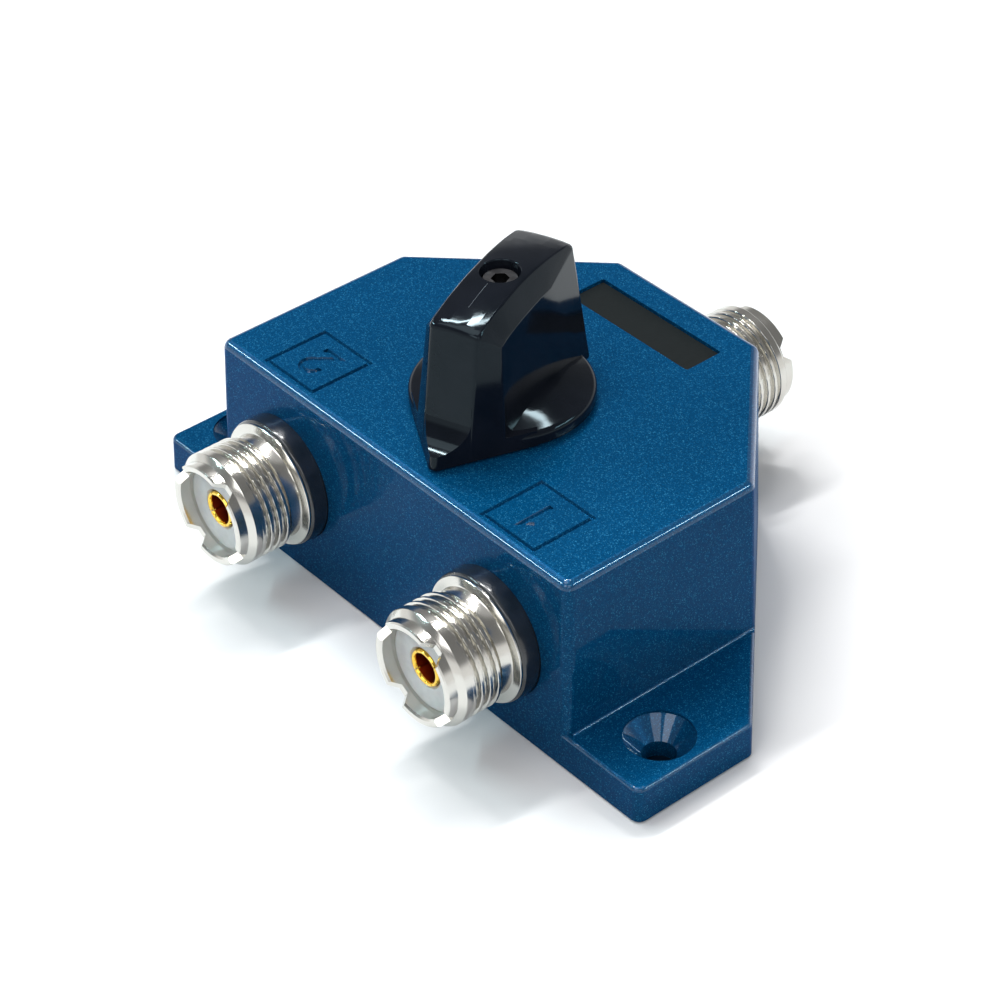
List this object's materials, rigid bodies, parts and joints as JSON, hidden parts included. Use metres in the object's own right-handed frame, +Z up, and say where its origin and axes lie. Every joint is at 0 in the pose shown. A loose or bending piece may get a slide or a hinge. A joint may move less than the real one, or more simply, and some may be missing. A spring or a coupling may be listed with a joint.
{
  "type": "two-way coaxial antenna switch",
  "caption": "Cast box with round coaxial connectors on two opposite walls, mounting ears and a pointer knob that joins the rear connector to either front one.",
  "frame": {"origin": "middle of the box's underside, which is also the bottom centre of the bounding box", "axes": "+X across the box towards port 1, +Y from the wall with two connectors to the wall with the common one, +Z up through the knob"},
  "size_m": [0.0964, 0.0784, 0.0475],
  "materials": {
    "blue_paint": "gloss metallic blue paint with fine flakes",
    "cover_sheet": "plain rolled sheet",
    "label_black": "bare dark plate, satin",
    "black_plastic": "glossy black moulding",
    "dark_steel": "blackened steel",
    "steel": "bright zinc-plated steel",
    "brass": "plain machined brass",
    "gold_plate": "gold-plated, bright",
    "white_plastic": "turned white fluoropolymer",
    "grey_plastic": "pale grey moulded insulator",
    "ring_black": "satin black ring",
    "nickel_plate": "bright nickel plate"
  },
  "bodies": {
    "box": {"housing": "blue_paint", "base_cover": "cover_sheet", "cover_screws": "steel", "label_plate": "label_black", "shaft_bush": "brass", "detent_plate": "steel", "stop_pin": "steel", "common_strip": "brass", "port_1_strip": "brass", "port_2_strip": "brass", "port_1_shell": "nickel_plate", "port_1_insulator": "grey_plastic", "port_1_contact": "gold_plate", "port_1_ring": "ring_black", "port_1_washer": "steel", "port_1_nut": "nickel_plate", "port_2_shell": "nickel_plate", "port_2_insulator": "grey_plastic", "port_2_contact": "gold_plate", "port_2_ring": "ring_black", "port_2_washer": "steel", "port_2_nut": "nickel_plate", "common_shell": "nickel_plate", "common_insulator": "grey_plastic", "common_contact": "gold_plate", "common_ring": "ring_black", "common_washer": "steel", "common_nut": "nickel_plate"},
    "rotor": {"knob": "black_plastic", "knob_screw": "dark_steel", "shaft": "steel", "shaft_clip": "dark_steel", "detent_disc": "brass", "detent_balls": "steel", "detent_springs": "steel", "rotor_hub": "white_plastic", "contact_blade": "gold_plate", "wiper_washer": "brass", "rotor_screw": "steel"}
  },
  "joints": [
    {"name": "knob_turn", "type": "hinge", "parent": "box", "child": "rotor", "pos_m": [0, -0.0065, 0.0283], "axis": [0, 0, 1], "range_deg": [-42, 0]}
  ]
}
